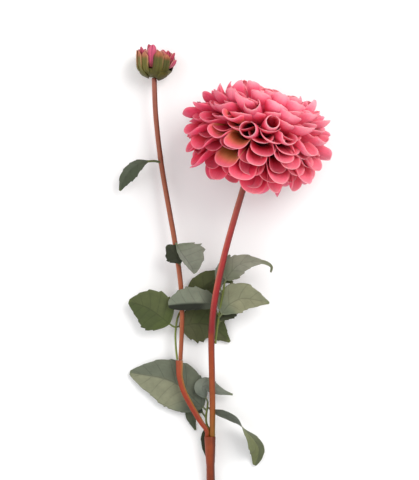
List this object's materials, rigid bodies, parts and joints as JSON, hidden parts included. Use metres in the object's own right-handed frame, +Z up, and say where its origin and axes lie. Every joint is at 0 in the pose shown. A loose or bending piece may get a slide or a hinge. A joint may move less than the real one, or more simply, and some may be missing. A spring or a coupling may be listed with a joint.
{
  "type": "dahlia flower",
  "caption": "Cut dahlia spray laid down: a full pink ball bloom and an opening bud on two stems that fork from one, with toothed leaves.",
  "frame": {"origin": "middle of the underside of the part's box, on the surface that the flower lies on", "axes": "+Z up from that surface; +Y from the stem's cut end to the flowers; +X to the bloom's side, seen from above"},
  "size_m": [0.1866, 0.4182, 0.1172],
  "materials": {
    "stem_bark": "satin, rust brown",
    "stalk_green": "satin, yellow green",
    "leaf_green": "matt, dark olive green",
    "sepal_green": "matt, olive green",
    "petal_pink": "matt, pink with deep red hollows"
  },
  "bodies": {
    "root": {"main_stem": "stem_bark", "bloom_stem": "stem_bark", "bud_stem_lower": "stem_bark", "bud_stem_upper": "stem_bark", "leaf_stalk_low": "stalk_green", "leaf_stalk_left": "stalk_green", "leaf_stalk_right": "stalk_green", "leaf_upper_left": "leaf_green", "leaf_bud_stem_dark": "leaf_green", "leaf_bud_stem_pale": "leaf_green", "leaf_left_round": "leaf_green", "leaf_behind_stems": "leaf_green", "leaf_top_dark": "leaf_green", "leaf_middle_folded": "leaf_green", "leaf_upper_small": "leaf_green", "leaf_upper_right": "leaf_green", "leaf_right": "leaf_green", "leaf_right_under": "leaf_green", "leaf_low_large": "leaf_green", "leaf_low_pointed": "leaf_green", "leaf_low_arched": "leaf_green", "leaf_low_right": "leaf_green", "leaf_behind_collar": "leaf_green", "bloom": "petal_pink", "bud_petals": "petal_pink", "bloom_calyx": "sepal_green", "bud_calyx": "sepal_green"}
  },
  "joints": []
}
